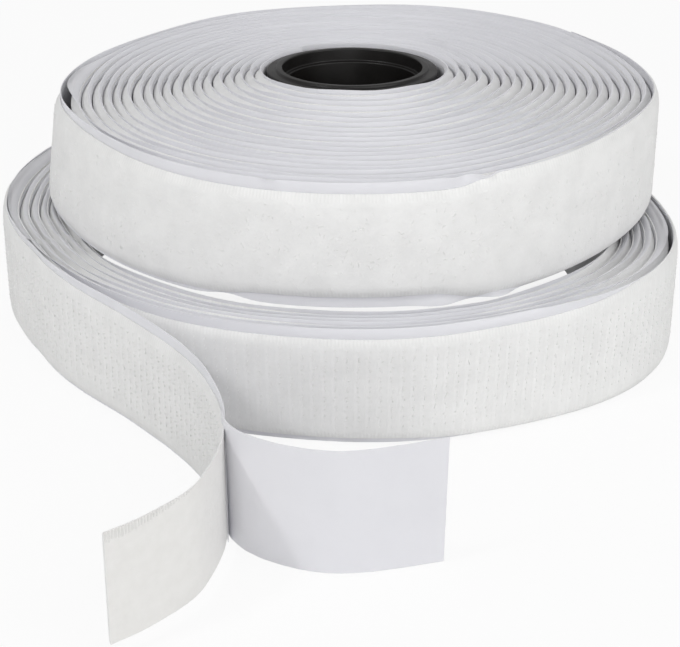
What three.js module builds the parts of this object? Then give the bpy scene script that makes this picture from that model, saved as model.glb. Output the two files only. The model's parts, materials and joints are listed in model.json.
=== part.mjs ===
// Hook and loop tape: a roll of loop tape, wound with its release liner on a moulded core, standing
// on a loose hollow coil of hook tape. The hook tape's tail runs off the front of its coil, where its
// liner is peeled away from the adhesive back. Millimetres, +Z up.
import * as THREE from "three";

// Woven tape with its adhesive coat, and the wider release liner behind it
const tapeWidth = 20;
const tapeThickness = 1.0;
const linerWidth = 24;
const linerThickness = 0.25;
const laminateGap = 0.3;

// Steps of a full turn. Turns that show in the outline are drawn in twice as many.
const stepsPerTurn = 12;

// Loop roll: turns, how many of the outermost are fine, the gap between them and the outer end's angle
const loopTurns = 20;
const loopFineTurns = 3;
const loopWindingGap = 0.48;
const loopEndAngle = 0;

// How far the roll's inner turns and core have slid up past its outermost turn
const loopRise = 3.1;

// Hook coil, which has no core: the same, how far its inner turn reaches under the roll's rim, and
// where its middle lies from the roll's axis
const hookTurns = 6.375;
const hookWindingGap = 0.4;
const hookEndAngle = 210;
const hookReach = 2.45;
const hookShiftX = -3.5;
const hookShiftY = 0;

// How far the slack coil stands out of a true spiral, every 15 degrees from the right, anticlockwise
const hookSwell = [
  -0.9, -1.8, -1.9, -1.8, -1.4, -0.9, -0.4, 0.3, 1.1, 1.8, 2.2, 1.5,
  0.3, -2.0, -3.1, -2.3, -1.6, -1.4, -0.6, 1.0, 1.6, 3.6, 4.6, 2.4,
];

// Moulded core: a tube with rounded rims and a wider mouth at each end
const coreRadius = 17.5;
const coreWall = 3;
const coreHeight = 24;
const coreRim = 1;
const mouthDepth = 4;
const mouthLedge = 0.8;
const coreSides = 28;
const rimSteps = 1;

// Clearances: core in its winding, roll on coil, and tape end to tape end at a joint
const seatClearance = 0.35;
const stackGap = 0.3;
const jointGap = 0.7;

// Tail in plan, as arcs from the coil to the peel line: length, and turn to the left in degrees
const tailRunLength = 18;
const tailRunTurn = 9;
const tailSpanLength = 26;
const tailSpanTurn = 3;
const tailBendLength = 34;
const tailBendTurn = -41.4;

// Bare tape end past the peel line
const endBendLength = 27.5;
const endBendTurn = -47;
const endRunLength = 9.5;
const endRunTurn = -16;

// Peeled liner past the peel line
const peelCurlLength = 5;
const peelCurlTurn = 38;
const peelBendLength = 13;
const peelBendTurn = 39;
const peelRunLength = 23;
const peelRunTurn = 41;

// Longest straight step along a tail
const tailStep = 6;

// Layers, measured outwards from the liner's inner face
const linerLayer = { inner: 0, outer: linerThickness };
const tapeInner = linerThickness + laminateGap;
const tapeLayer = { inner: tapeInner, outer: tapeInner + tapeThickness };

// Both layers are centred on the height of the wider one
const webHeight = Math.max(tapeWidth, linerWidth);
const linerBand = { low: (webHeight - linerWidth) / 2, high: (webHeight + linerWidth) / 2 };
const tapeBand = { low: (webHeight - tapeWidth) / 2, high: (webHeight + tapeWidth) / 2 };
const stackLevel = webHeight + stackGap;

const radians = THREE.MathUtils.degToRad;

function material(color, roughness) {
  return new THREE.MeshStandardMaterial({ color, roughness, metalness: 0, flatShading: true });
}

function named(name, geometry, look) {
  const mesh = new THREE.Mesh(geometry, look);
  mesh.name = name;
  return mesh;
}

// A station is a plan point on the liner's inner face, with the direction of travel there and how far
// the web has slid up.
function station(x, y, heading, level = 0) {
  return { point: new THREE.Vector2(x, y), heading, level };
}

// Points of one face of the web, at a distance to the right of the direction of travel
function faceLine(stations, distance) {
  return stations.map(({ point, heading }) =>
    new THREE.Vector2(Math.sin(heading), -Math.cos(heading)).multiplyScalar(distance).add(point),
  );
}

// A flat ribbon on edge along the stations: four corners a station, joined and closed at both ends
function ribbon(stations, layer, band) {
  const inside = faceLine(stations, layer.inner);
  const outside = faceLine(stations, layer.outer);
  const corners = [];
  for (let i = 0; i < stations.length; i++) {
    const low = band.low + stations[i].level;
    const high = band.high + stations[i].level;
    corners.push(inside[i].x, inside[i].y, low);
    corners.push(outside[i].x, outside[i].y, low);
    corners.push(outside[i].x, outside[i].y, high);
    corners.push(inside[i].x, inside[i].y, high);
  }
  const faces = [0, 1, 2, 0, 2, 3];
  for (let i = 0; i + 1 < stations.length; i++) {
    for (let side = 0; side < 4; side++) {
      const a = 4 * i + side;
      const b = 4 * i + ((side + 1) % 4);
      faces.push(a, a + 4, b + 4, a, b + 4, b);
    }
  }
  const last = 4 * (stations.length - 1);
  faces.push(last, last + 2, last + 1, last, last + 3, last + 2);
  const geometry = new THREE.BufferGeometry();
  geometry.setAttribute("position", new THREE.Float32BufferAttribute(corners, 3));
  geometry.setIndex(faces);
  return geometry;
}

// Value at an angle in a table of even steps round a circle
function around(table, angle) {
  const place = THREE.MathUtils.euclideanModulo(angle / (2 * Math.PI), 1) * table.length;
  const before = Math.floor(place);
  const from = table[before % table.length];
  return THREE.MathUtils.lerp(from, table[(before + 1) % table.length], place - before);
}

// Stations of a spiral that grows outwards anticlockwise to its outer end. It stands out of true by
// the swell round the circle, and its inner turns have slid up by the rise.
function winding({ turns, fineTurns, pitch, firstRadius, endAngle, swell = [0], rise = 0 }) {
  const coarseSteps = Math.round((turns - fineTurns) * stepsPerTurn);
  const fineSteps = Math.round(fineTurns * stepsPerTurn * 2);
  const lastTurn = (coarseSteps + fineSteps / 2) / stepsPerTurn;
  const angleStep = Math.PI / stepsPerTurn;
  const stations = [];
  for (let i = 0; i <= coarseSteps + fineSteps; i++) {
    const turn = (Math.min(i, coarseSteps) + Math.max(0, i - coarseSteps) / 2) / stepsPerTurn;
    const angle = radians(endAngle) + 2 * Math.PI * (turn - lastTurn);
    const radius = firstRadius + pitch * turn + around(swell, angle);
    const growth = around(swell, angle + angleStep / 2) - around(swell, angle - angleStep / 2);
    const heading = angle + Math.PI / 2 - Math.atan2(growth, radius * angleStep);
    const inward = 1 - turn / lastTurn;
    const level = rise * inward * inward;
    stations.push(station(radius * Math.cos(angle), radius * Math.sin(angle), heading, level));
  }
  return stations;
}

// A station moved on along its direction of travel
function ahead(from, distance) {
  const { point, heading } = from;
  return station(
    point.x + distance * Math.cos(heading),
    point.y + distance * Math.sin(heading),
    heading,
  );
}

// Stations along arcs given as [length, turn in degrees], from a first station
function run(from, arcs) {
  const stations = [from];
  for (const [length, turn] of arcs) {
    const steps = Math.ceil(length / tailStep);
    const turnStep = radians(turn) / steps;
    const chord = (length / steps) * (Math.sin(turnStep / 2) / (turnStep / 2));
    for (let i = 0; i < steps; i++) {
      const here = stations[stations.length - 1];
      const middle = here.heading + turnStep / 2;
      const next = ahead(station(here.point.x, here.point.y, middle), chord);
      stations.push(station(next.point.x, next.point.y, here.heading + turnStep));
    }
  }
  return stations;
}

// Least distance from a ribbon's outer face to the inner face of its own next turn, on points
function leastGap(stations, layer) {
  const samplesPerStep = 4;
  const inside = faceLine(stations, layer.inner);
  const outside = faceLine(stations, layer.outer);
  const nearest = new THREE.Vector3();
  const asVector = (p) => new THREE.Vector3(p.x, p.y, 0);
  let least = Infinity;
  for (let i = 0; i + 1 < stations.length; i++) {
    for (let sample = 0; sample < samplesPerStep; sample++) {
      const from = asVector(outside[i].clone().lerp(outside[i + 1], sample / samplesPerStep));
      for (let j = i + 1; j + 1 < stations.length; j++) {
        if (stations[j].heading - stations[i].heading < Math.PI) continue;
        const chord = new THREE.Line3(asVector(inside[j]), asVector(inside[j + 1]));
        chord.closestPointToPoint(from, true, nearest);
        least = Math.min(least, nearest.distanceTo(from));
      }
    }
  }
  return least;
}

// Section of the core, as radius and height: rounded rims, a wide mouth at each end, a narrower bore
function coreGeometry() {
  const mouth = coreRadius - coreWall;
  const bore = mouth - mouthLedge;
  const top = coreHeight;
  const section = new THREE.Path();
  section.moveTo(bore, mouthDepth);
  section.lineTo(mouth, mouthDepth);
  section.lineTo(mouth, coreRim);
  section.absarc(mouth + coreRim, coreRim, coreRim, Math.PI, 1.5 * Math.PI);
  section.lineTo(coreRadius - coreRim, 0);
  section.absarc(coreRadius - coreRim, coreRim, coreRim, -0.5 * Math.PI, 0);
  section.lineTo(coreRadius, top - coreRim);
  section.absarc(coreRadius - coreRim, top - coreRim, coreRim, 0, 0.5 * Math.PI);
  section.lineTo(mouth + coreRim, top);
  section.absarc(mouth + coreRim, top - coreRim, coreRim, 0.5 * Math.PI, Math.PI);
  section.lineTo(mouth, top - mouthDepth);
  section.lineTo(bore, top - mouthDepth);
  section.lineTo(bore, mouthDepth);
  const geometry = new THREE.LatheGeometry(section.getPoints(rimSteps), coreSides);
  return geometry.rotateX(Math.PI / 2);
}

// Tape and liner wound together along the stations
function wind(prefix, stations, tapeLook) {
  const wound = new THREE.Group();
  wound.add(named(`${prefix}_tape`, ribbon(stations, tapeLayer, tapeBand), tapeLook));
  wound.add(named(`${prefix}_liner`, ribbon(stations, linerLayer, linerBand), linerLook));
  for (const [name, layer] of [["tape", tapeLayer], ["liner", linerLayer]]) {
    console.log(`${prefix}_${name} least gap to itself ${leastGap(stations, layer).toFixed(2)} mm`);
  }
  return wound;
}

const hookLook = material("#e4e4e2", 0.85);
const loopLook = material("#e2e2e0", 0.95);
const linerLook = material("#dedee6", 0.35);
const coreLook = material("#1a1714", 0.4);

const stack = new THREE.Group();

// Loop roll on top, with its core level with the innermost turn of liner
const loopPitch = tapeLayer.outer + loopWindingGap;
const loopFirstRadius = (coreRadius + seatClearance) / Math.cos(Math.PI / stepsPerTurn);
const loopTurn = winding({
  turns: loopTurns,
  fineTurns: loopFineTurns,
  pitch: loopPitch,
  firstRadius: loopFirstRadius,
  endAngle: loopEndAngle,
  rise: loopRise,
});
const loopRoll = wind("loop", loopTurn, loopLook);
loopRoll.position.z = stackLevel;
const loopCore = named("loop_core", coreGeometry(), coreLook);
loopCore.position.z = stackLevel + linerBand.low + loopRise;
stack.add(loopRoll, loopCore);

// Hook coil on the table, just wide enough for the roll to stand on
const hookPitch = tapeLayer.outer + hookWindingGap;
const hookFirstRadius = loopFirstRadius + loopPitch * loopTurns - hookReach;
const hookTurn = winding({
  turns: hookTurns,
  fineTurns: hookTurns,
  pitch: hookPitch,
  firstRadius: hookFirstRadius,
  endAngle: hookEndAngle,
  swell: hookSwell,
});
const hookCoil = wind("hook", hookTurn, hookLook);
hookCoil.position.set(hookShiftX, hookShiftY, 0);
stack.add(hookCoil);

// Tail of the hook tape, still on its liner, from the coil to the peel line
const tail = run(ahead(hookTurn[hookTurn.length - 1], jointGap), [
  [tailRunLength, tailRunTurn],
  [tailSpanLength, tailSpanTurn],
  [tailBendLength, tailBendTurn],
]);
hookCoil.add(named("hook_tail_tape", ribbon(tail, tapeLayer, tapeBand), hookLook));
hookCoil.add(named("hook_tail_liner", ribbon(tail, linerLayer, linerBand), linerLook));

// Past the peel line the bare tape turns right and the liner turns left
const peelLine = ahead(tail[tail.length - 1], jointGap);
const tapeEnd = run(peelLine, [
  [endBendLength, endBendTurn],
  [endRunLength, endRunTurn],
]);
hookCoil.add(named("hook_end_tape", ribbon(tapeEnd, tapeLayer, tapeBand), hookLook));
const peeled = run(peelLine, [
  [peelCurlLength, peelCurlTurn],
  [peelBendLength, peelBendTurn],
  [peelRunLength, peelRunTurn],
]);
hookCoil.add(named("hook_peeled_liner", ribbon(peeled, linerLayer, linerBand), linerLook));

// The origin is the middle of the footprint, on the surface that the part stands on
const extent = new THREE.Box3().setFromObject(stack);
const middle = extent.getCenter(new THREE.Vector3());
stack.position.set(-middle.x, -middle.y, -extent.min.z);

const part = new THREE.Group();
part.add(stack);
export default part;
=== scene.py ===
import json
import math
import bpy
import numpy as np
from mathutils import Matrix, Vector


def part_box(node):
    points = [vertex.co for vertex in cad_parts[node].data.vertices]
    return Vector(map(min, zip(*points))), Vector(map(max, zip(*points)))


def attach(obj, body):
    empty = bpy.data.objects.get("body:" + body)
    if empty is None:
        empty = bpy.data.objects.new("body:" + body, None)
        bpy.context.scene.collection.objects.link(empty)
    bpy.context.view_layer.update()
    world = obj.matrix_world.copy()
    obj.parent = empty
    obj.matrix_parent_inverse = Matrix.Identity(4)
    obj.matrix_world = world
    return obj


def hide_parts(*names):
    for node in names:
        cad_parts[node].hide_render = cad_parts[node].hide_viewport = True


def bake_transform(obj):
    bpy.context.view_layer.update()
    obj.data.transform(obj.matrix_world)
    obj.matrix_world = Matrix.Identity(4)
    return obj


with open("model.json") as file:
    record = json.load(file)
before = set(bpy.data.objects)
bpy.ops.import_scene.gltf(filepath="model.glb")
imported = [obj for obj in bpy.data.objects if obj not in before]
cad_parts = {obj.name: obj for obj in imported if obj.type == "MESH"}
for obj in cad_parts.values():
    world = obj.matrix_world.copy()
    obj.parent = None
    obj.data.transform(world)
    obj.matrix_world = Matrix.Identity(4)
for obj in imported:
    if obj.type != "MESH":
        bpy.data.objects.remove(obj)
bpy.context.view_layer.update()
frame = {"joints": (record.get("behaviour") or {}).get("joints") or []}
mm = 0.001
coreLow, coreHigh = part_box("loop_core")
axis = ((coreLow + coreHigh) / 2).to_2d()
axisMm = np.array((axis.x / mm, axis.y / mm, 0.0))  # plan points are measured from the roll's axis, in mm


# helpers for materials

def linear(hexCode):
    values = [int(hexCode[i:i + 2], 16) / 255 for i in (1, 3, 5)]
    return tuple(v / 12.92 if v <= 0.04045 else ((v + 0.055) / 1.055) ** 2.4 for v in values) + (1.0,)


def addNode(tree, kind, inputs=None, **settings):
    node = tree.nodes.new("ShaderNode" + kind)
    for key, value in settings.items():
        setattr(node, key, value)
    for key, value in (inputs or {}).items():
        if isinstance(value, bpy.types.NodeSocket):
            tree.links.new(value, node.inputs[key])
        else:
            node.inputs[key].default_value = value
    return node


def newMaterial(name):
    material = bpy.data.materials.new(name)
    material.use_nodes = True
    material.node_tree.nodes.clear()
    return material, material.node_tree


def finishMaterial(material, sockets):  # its shader, with these values and links
    shader = addNode(material.node_tree, "BsdfPrincipled", sockets)
    addNode(material.node_tree, "OutputMaterial", {"Surface": shader.outputs["BSDF"]})
    return material


def stripPlace(tree):  # where a point lies along and across its strip, in mm
    uv = addNode(tree, "UVMap", uv_map="lengthAndWidth")
    return addNode(tree, "Mapping", {"Vector": uv.outputs["UV"], "Scale": (1000, 1000, 1000)}).outputs[0]


def ribsAlong(tree, along, spacing):  # a sine wave along a strip, spacing in mm
    phase = addNode(tree, "Math", {0: along, 1: 2 * math.pi / spacing}, operation="MULTIPLY")
    return addNode(tree, "Math", {0: phase.outputs[0]}, operation="SINE").outputs[0]


# helpers for plan lines and strips

def smoothStep(x, low, high):
    t = np.clip((np.asarray(x, float) - low) / (high - low), 0, 1)
    return t * t * (3 - 2 * t)


def bump(x, place, width):
    return np.exp(-((np.asarray(x, float) - place) / width) ** 2)


def closedTable(table, softness):  # values round a circle, in degrees, smoothed over some degrees
    angles = np.array(sorted(table))
    values = np.array([table[a] for a in angles], float)
    grid = np.arange(720) / 2
    lapped = np.r_[angles[-1] - 360, angles, angles[0] + 360]
    flat = np.interp(grid, lapped, np.r_[values[-1], values, values[0]])
    weight = np.exp(-(np.minimum(grid, 360 - grid) / softness) ** 2)
    soft = np.real(np.fft.ifft(np.fft.fft(flat) * np.fft.fft(weight / weight.sum())))
    return lambda a: np.interp(np.mod(a, 360), np.r_[grid, 360], np.r_[soft, soft[0]])


def alongLine(line):  # distance of each point from the line's start
    return np.r_[0, np.cumsum(np.hypot(*np.diff(line, axis=0).T))]


def pointsAt(distances, travel, line):  # points of a line at distances along it
    return np.stack([np.interp(distances, travel, line[:, i]) for i in (0, 1)], 1)


def rightOf(line):  # unit normals to the right of the direction of travel
    step = np.gradient(line, axis=0)
    step /= np.hypot(*step.T)[:, None]
    return np.stack([step[:, 1], -step[:, 0]], 1)


def softLine(points, spacing, softness):  # plan line through points, smoothed, with even steps, in mm
    fineStep = 0.25
    points = np.array(points, float)
    travel = alongLine(points)
    line = pointsAt(np.arange(0, travel[-1], fineStep), travel, points)
    pad = int(3 * softness / fineStep)
    weight = np.exp(-(np.arange(-pad, pad + 1) * fineStep / softness) ** 2)
    weight /= weight.sum()
    head = 2 * line[0] - line[1:pad + 1][::-1]
    foot = 2 * line[-1] - line[-pad - 1:-1][::-1]
    padded = np.concatenate([head, line, foot])
    line = np.stack([np.convolve(padded[:, i], weight, "valid") for i in (0, 1)], 1)
    travel = alongLine(line)
    steps = max(2, int(round(travel[-1] / spacing)) + 1)
    return pointsAt(np.linspace(0, travel[-1], steps), travel, line)


def spiralAngles(radiusAt, first, last, spec):  # angles along a winding at even steps, finer on its outside
    outside = last - spec["fineAngle"]
    angles = []
    for start, end, step in ((first, outside, spec["stepInside"]), (outside, last, spec["stepOutside"])):
        a = np.arange(start, end, 0.5)
        r = radiusAt(a)
        travel = np.r_[0, np.cumsum(np.hypot(np.diff(r), r[:-1] * math.radians(0.5)))]
        angles.append(np.interp(np.arange(0, travel[-1], step), travel, a))
    return np.r_[angles[0], angles[1], last]


def ringPoints(radius, angle):
    return np.stack([radius * np.cos(np.radians(angle)), radius * np.sin(np.radians(angle))], 1)


def wobble(seed, count, slowest):  # a smooth random wave of angle and turn, about -1 to 1
    draw = np.random.default_rng(seed)
    waves = []
    for _ in range(count):
        waves.append((draw.integers(slowest, slowest + 6), draw.uniform(0, 6.28), draw.uniform(-2.2, 2.2)))

    def wave(a, turn):
        return sum(np.sin(n * np.radians(a) + f + g * turn) for n, f, g in waves) / math.sqrt(count) / 1.2

    return wave


def tubes(paths, side, radius):  # closed four-sided filaments along paths, each with a side direction
    along = np.gradient(paths, axis=1)
    along /= np.linalg.norm(along, axis=2)[..., None]
    u = side[:, None, :] - along * np.sum(side[:, None, :] * along, 2)[..., None]
    u /= np.linalg.norm(u, axis=2)[..., None]
    v = np.cross(along, u)
    turns = np.arange(4) * math.pi / 2
    ring = u[:, :, None, :] * np.cos(turns)[:, None] + v[:, :, None, :] * np.sin(turns)[:, None]
    verts = paths[:, :, None, :] + ring * np.broadcast_to(radius, paths.shape[:2])[..., None, None]
    count, rings = paths.shape[:2]
    n, r, k = np.meshgrid(np.arange(count), np.arange(rings - 1), np.arange(4), indexing="ij")

    def at(ringNo, corner):
        return (n * rings + ringNo) * 4 + corner % 4

    walls = np.stack([at(r, k), at(r, k + 1), at(r + 1, k + 1), at(r + 1, k)], -1).reshape(-1, 4)
    start = np.arange(count)[:, None] * rings * 4
    startCaps = start + [3, 2, 1, 0]
    endCaps = start + (rings - 1) * 4 + [0, 1, 2, 3]
    return verts.reshape(-1, 3), np.concatenate([walls, startCaps, endCaps])


def layStrip(name, line, inner, outer, looks, across, filaments=None):
    # a closed strip on edge: inner and outer are grids of (offset to the right, height), looks the finish of
    # its outer face, inner face and filaments, across the places over its width. filaments are the hooks or
    # loops that stand on it: points from the roll's axis in mm, faces, and places on the tape
    count, levels = inner[0].shape
    normal = rightOf(line)
    sides = []
    for offset, height in (inner, outer):
        flat = line[:, None, :] + normal[:, None, :] * offset[..., None]
        sides.append(np.concatenate([flat + axisMm[:2], height[..., None]], 2))
    verts = (np.concatenate([sides[0], sides[1][:, ::-1]], 1) * mm).reshape(-1, 3)
    around = 2 * levels
    i, j = np.meshgrid(np.arange(count - 1), np.arange(around), indexing="ij")
    k = (j + 1) % around
    walls = [i * around + j, i * around + k, (i + 1) * around + k, (i + 1) * around + j]
    a = np.arange(levels - 1)
    startCap = np.stack([a, around - 1 - a, around - 2 - a, a + 1], 1)
    endCap = np.stack([a, a + 1, around - 2 - a, around - 1 - a], 1) + (count - 1) * around
    faces = np.concatenate([np.stack(walls, -1).reshape(-1, 4), startCap, endCap])
    finish = np.r_[np.where(j >= levels - 1, 0, 1).reshape(-1), np.zeros(2 * (levels - 1), int)]
    travel = np.repeat(alongLine(line)[:, None], around, 1)
    width = np.concatenate([across[0], across[1][:, ::-1]], 1)
    uv = np.stack([travel, width], -1).reshape(-1, 2) * mm
    if filaments is not None:
        points, more, places = filaments
        faces = np.concatenate([faces, more + len(verts)])
        verts = np.concatenate([verts, (points + axisMm) * mm])
        uv = np.concatenate([uv, places * mm])
        finish = np.r_[finish, np.full(len(more), 2)]
    mesh = bpy.data.meshes.new(name)
    mesh.from_pydata(verts.tolist(), [], faces.tolist())
    for look in looks:
        mesh.materials.append(look)
    mesh.polygons.foreach_set("material_index", np.minimum(finish, len(looks) - 1).astype(np.int32))
    mesh.polygons.foreach_set("use_smooth", np.ones(len(faces), bool))
    layer = mesh.uv_layers.new(name="lengthAndWidth")
    corner = np.zeros(len(mesh.loops), np.int32)
    mesh.loops.foreach_get("vertex_index", corner)
    layer.data.foreach_set("uv", uv[corner].astype(np.float32).reshape(-1))
    mesh.validate()
    mesh.set_sharp_from_angle(angle=math.radians(50))
    piece = bpy.data.objects.new(name, mesh)
    bpy.context.scene.collection.objects.link(piece)
    return piece


# camera at the photograph's viewing angle

view = {"place": (-2.5, -355.0, 164.5), "pitch": 25.77,
        "focalPixels": 1800.0, "widthPixels": 680, "sensor": 36.0}
camera = bpy.data.objects.new("camera", bpy.data.cameras.new("camera"))
bpy.context.scene.collection.objects.link(camera)
camera.location = [(p + a) * mm for p, a in zip(view["place"], axisMm)]
camera.rotation_euler = (math.radians(90 - view["pitch"]), 0, 0)
camera.data.sensor_width = view["sensor"]
camera.data.lens = view["focalPixels"] / view["widthPixels"] * view["sensor"]
camera.data.clip_start = 0.01
bpy.context.scene.camera = camera
print("camera set")


# tape and liner on edge, in mm: the liner is wider than the tape by a bare margin at each side

web = {
    "tapeWidth": 20.0, "margin": 2.0, "film": 0.16, "bond": 0.02, "tape": 1.15, "selvedge": 0.55,
    "clear": 0.08,  # between a tape and the next turn's liner
}
tapeWidth = web["tapeWidth"]
tapeFoot = web["margin"]
tapeTop = tapeFoot + tapeWidth
linerWidth = tapeTop + web["margin"]
halfWidth = linerWidth / 2
linerLevels = np.array([0, 0.5, 1, 1.5, 2, 4, 8, 12, 16, 20, 22, 22.4, 22.8, 23.2, 23.6, 24])
tapeLevels = np.array([2, 2.12, 2.5, 3.4, 4.4, 7, 10, 12, 14, 17, 19.6, 20.6, 21.5, 21.88, 22])
fullCover = 2.05  # a tape edge that reaches just past its liner's margin


# materials: lengths in mm, noise and cell scales per mm of strip

softEdge = {"interpolation_type": "SMOOTHSTEP"}
nylonIor = 1.53
tapeLook = {
    "wovenEdge": 1.6, "warpSpacing": 0.65, "patches": 0.16, "relief": 0.2,
    "pile": 1.9, "specks": 0.55,  # matted loops, drawn 0.5 mm wide where real filaments are 0.05 mm
    "closeWeave": 1.4, "hookColumns": 2.0,
}


def widthMask(tree, height):  # 1 on the pile or hooks, 0 on the two woven edges
    full = tapeLook["wovenEdge"]
    none = full * 0.6
    far = {1: tapeWidth - full, 2: tapeWidth - none, 3: 1.0, 4: 0.0}
    low = addNode(tree, "MapRange", {"Value": height, 1: none, 2: full}, **softEdge)
    high = addNode(tree, "MapRange", {"Value": height, **far}, **softEdge)
    return addNode(tree, "Math", {0: low.outputs[0], 1: high.outputs[0]}, operation="MULTIPLY").outputs[0]


def wovenTape(name, colours, roughness, sheen, fieldKind):
    spec = tapeLook
    material, tree = newMaterial(name)
    place = stripPlace(tree)
    split = addNode(tree, "SeparateXYZ", {0: place})
    along, height = split.outputs[0], split.outputs[1]
    field = widthMask(tree, height)
    ribs = ribsAlong(tree, along, spec["warpSpacing"])
    ribs = addNode(tree, "Math", {0: ribs, 1: 0.5, 2: 0.5}, operation="MULTIPLY_ADD")
    if fieldKind == "loops":
        fuzz = {"Vector": place, "Scale": spec["pile"], "Detail": 3.0, "Roughness": 0.6}
        pattern = addNode(tree, "TexNoise", fuzz).outputs["Fac"]
        cells = addNode(tree, "TexVoronoi", {"Vector": place, "Scale": spec["specks"], "Randomness": 1.0})
        dots = {"Value": cells.outputs["Distance"], 1: 0.10, 2: 0.22, 3: 1.0, 4: 0.0}
    else:  # close weave, a little raised where each column of hooks is sewn through it
        weave = addNode(tree, "TexNoise", {"Vector": place, "Scale": spec["closeWeave"], "Detail": 2.0})
        pattern = weave.outputs["Fac"]
        dots = {"Value": ribsAlong(tree, along, spec["hookColumns"]), 1: 0.2, 2: 1.0}
    speck = addNode(tree, "MapRange", dots, **softEdge).outputs[0]
    surface = addNode(tree, "Mix", {0: field, 2: ribs.outputs[0], 3: pattern}, data_type="FLOAT").outputs[0]
    cloud = {"Vector": place, "Scale": spec["patches"], "Detail": 4.0, "Roughness": 0.65}
    mottle = addNode(tree, "TexNoise", cloud)
    patchy = addNode(tree, "MapRange", {"Value": mottle.outputs["Fac"], 1: 0.35, 2: 0.65})
    shades = {6: linear(colours[0]), 7: linear(colours[1])}
    tint = addNode(tree, "Mix", {0: patchy.outputs[0], **shades}, data_type="RGBA")
    # painted shade and painted highlight: the colour is a little darker where the weave and pile lie low and
    # a little lighter on the raised specks and hook columns
    paintedShade = addNode(tree, "MapRange", {"Value": surface, 1: 0.25, 2: 0.75, 3: 0.975, 4: 1.0})
    fleck = addNode(tree, "Math", {0: speck, 1: field}, operation="MULTIPLY").outputs[0]
    lift = addNode(tree, "Math", {0: fleck, 1: 0.02, 2: paintedShade.outputs[0]}, operation="MULTIPLY_ADD")
    layers = {0: 1.0, 6: tint.outputs[2], 7: lift.outputs[0]}
    colour = addNode(tree, "Mix", layers, data_type="RGBA", blend_type="MULTIPLY")
    raised = addNode(tree, "Math", {0: fleck, 1: 0.6, 2: surface}, operation="MULTIPLY_ADD").outputs[0]
    relief = addNode(tree, "Bump", {"Height": raised, "Strength": 0.22, "Distance": spec["relief"] * mm})
    return finishMaterial(material, {
        "Base Color": colour.outputs[2], "Normal": relief.outputs[0], "Roughness": roughness, "IOR": nylonIor,
        "Specular IOR Level": 0.25, "Sheen Weight": sheen, "Sheen Roughness": 0.6,
    })


# brushed nylon loops on a woven ground: matt, a little patchy, with stray bright loops and painted bright
# specks
loopPile = wovenTape("brushedNylonLoop", ("#eeeeed", "#f5f5f4"), 0.95, 0.2, "loops")
# woven nylon with cut monofilament hooks: matt ground, rows of small bright points, helped by painted
# highlight on the hook columns
hookWeave = wovenTape("wovenNylonHook", ("#eeeeed", "#f4f4f3"), 0.8, 0.1, "hooks")


def nylonFilament():  # drawn nylon monofilament: milky, catches the light as small bright points
    material, tree = newMaterial("nylonMonofilament")
    batch = addNode(tree, "TexNoise", {"Vector": stripPlace(tree), "Scale": 0.7, "Detail": 1.0})
    # painted highlight, partly the filament's own milky tone: it is painted whiter than the woven ground so
    # the hooks and stray loops show as bright points
    shades = {6: linear("#f6f6f5"), 7: linear("#fdfdfc")}
    tint = addNode(tree, "Mix", {0: batch.outputs["Fac"], **shades}, data_type="RGBA")
    return finishMaterial(material, {
        "Base Color": tint.outputs[2], "Roughness": 0.4, "IOR": nylonIor,
        "Subsurface Weight": 0.6, "Subsurface Radius": (1.0, 1.0, 1.0), "Subsurface Scale": 0.3 * mm,
    })


adhesiveLook = {
    "weave": 0.95, "flow": 0.45, "ragged": 0.9, "relief": 0.2, "ribSpacing": 0.6,
    # the coat stops short of the upper woven edge, in a ragged line that drops towards the cut end
    "edge": (20.3, 20.7), "raggedDepth": 1.2, "drop": 1.7, "dropFrom": 18.0, "dropTo": 34.0,
}


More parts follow.
